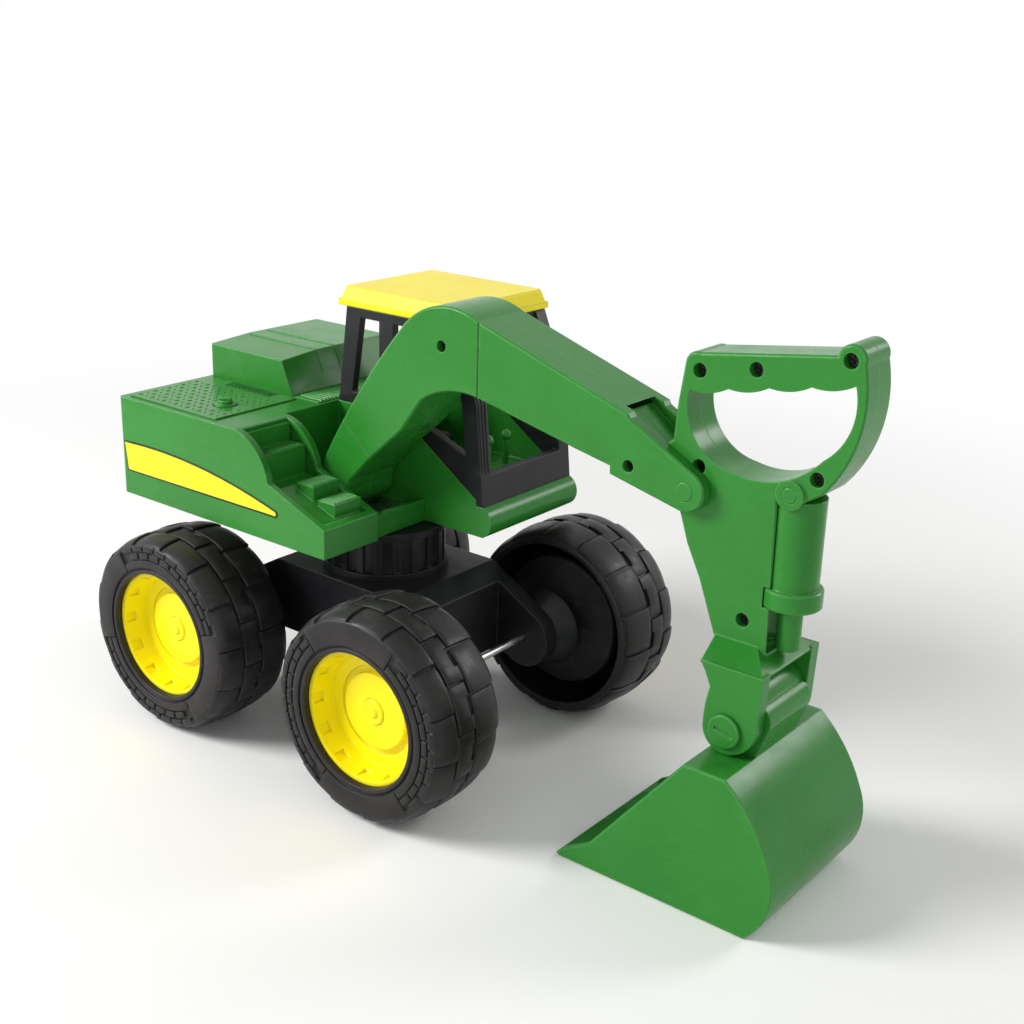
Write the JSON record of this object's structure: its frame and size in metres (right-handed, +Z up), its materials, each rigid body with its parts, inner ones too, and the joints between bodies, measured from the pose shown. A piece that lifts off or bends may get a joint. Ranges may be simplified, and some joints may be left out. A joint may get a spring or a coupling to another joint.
{
  "type": "toy wheeled digger",
  "caption": "Plastic sandbox digger: slewing house with open cab on a wheeled chassis, hinged gooseneck boom, arm with D hand grip, and tilting bucket.",
  "frame": {"origin": "on the floor, straight under the axis on which the house turns, midway between the axles", "axes": "+X forward along the boom, +Y to the left (the cab side), +Z up"},
  "size_m": [0.3763, 0.1836, 0.2362],
  "materials": {
    "green_plastic": "injection-moulded, satin gloss",
    "yellow_plastic": "injection-moulded, satin gloss",
    "black_plastic": "injection-moulded, fine matt",
    "tyre_plastic": "hard hollow plastic tyre, stippled",
    "steel": "bright zinc-plated",
    "sticker": "plain vinyl label with a black border"
  },
  "bodies": {
    "chassis": {"chassis_frame": "black_plastic", "belly_pan": "black_plastic", "turret": "black_plastic", "pan_screws": "steel", "axle_front": "steel", "axle_rear": "steel", "push_nut_front_left": "steel", "push_nut_front_right": "steel", "push_nut_rear_left": "steel", "push_nut_rear_right": "steel"},
    "house": {"house_shell": "green_plastic", "house_base": "green_plastic", "house_screws": "steel", "swivel_bolt": "steel", "boom_root_pin": "green_plastic", "side_steps": "green_plastic", "engine_hood": "green_plastic", "deck_plate": "green_plastic", "deck_grille": "green_plastic", "filler_cap": "green_plastic", "sticker_left": "sticker", "sticker_right": "sticker", "cab_frame": "black_plastic", "cab_roof": "yellow_plastic", "cab_seat": "black_plastic", "cab_console": "green_plastic"},
    "boom": {"boom_right": "green_plastic", "boom_left": "green_plastic", "boom_screws": "steel", "arm_pin": "green_plastic"},
    "arm": {"arm_right": "green_plastic", "arm_left": "green_plastic", "arm_screws": "steel", "cylinder_barrel": "green_plastic", "cylinder_rod": "green_plastic", "cylinder_pin": "green_plastic", "bucket_pin": "green_plastic"},
    "bucket": {"bucket_shell": "green_plastic", "bucket_knuckle": "green_plastic"},
    "wheel_front_left": {"tyre_front_left": "tyre_plastic", "hub_front_left": "yellow_plastic", "hub_cap_front_left": "yellow_plastic"},
    "wheel_front_right": {"tyre_front_right": "tyre_plastic", "hub_front_right": "yellow_plastic", "hub_cap_front_right": "yellow_plastic"},
    "wheel_rear_left": {"tyre_rear_left": "tyre_plastic", "hub_rear_left": "yellow_plastic", "hub_cap_rear_left": "yellow_plastic"},
    "wheel_rear_right": {"tyre_rear_right": "tyre_plastic", "hub_rear_right": "yellow_plastic", "hub_cap_rear_right": "yellow_plastic"}
  },
  "joints": [
    {"name": "slew", "type": "hinge", "parent": "chassis", "child": "house", "pos_m": [0, 0, 0.1065], "axis": [0, 0, 1], "continuous": true},
    {"name": "boom_hinge", "type": "hinge", "parent": "house", "child": "boom", "pos_m": [-0.008, -0.013, 0.1245], "axis": [0, 1, 0], "range_deg": [-35, 4]},
    {"name": "arm_hinge", "type": "hinge", "parent": "boom", "child": "arm", "pos_m": [0.187, -0.013, 0.168], "axis": [0, 1, 0], "range_deg": [-20, 4]},
    {"name": "bucket_hinge", "type": "hinge", "parent": "arm", "child": "bucket", "pos_m": [0.218, -0.013, 0.077], "axis": [0, 1, 0], "range_deg": [-35, 18]},
    {"name": "wheel_front_left_spin", "type": "hinge", "parent": "chassis", "child": "wheel_front_left", "pos_m": [0.067, 0.0703, 0.05], "axis": [0, 1, 0], "continuous": true},
    {"name": "wheel_front_right_spin", "type": "hinge", "parent": "chassis", "child": "wheel_front_right", "pos_m": [0.067, -0.0703, 0.05], "axis": [0, 1, 0], "continuous": true},
    {"name": "wheel_rear_left_spin", "type": "hinge", "parent": "chassis", "child": "wheel_rear_left", "pos_m": [-0.067, 0.0703, 0.05], "axis": [0, 1, 0], "continuous": true},
    {"name": "wheel_rear_right_spin", "type": "hinge", "parent": "chassis", "child": "wheel_rear_right", "pos_m": [-0.067, -0.0703, 0.05], "axis": [0, 1, 0], "continuous": true}
  ]
}
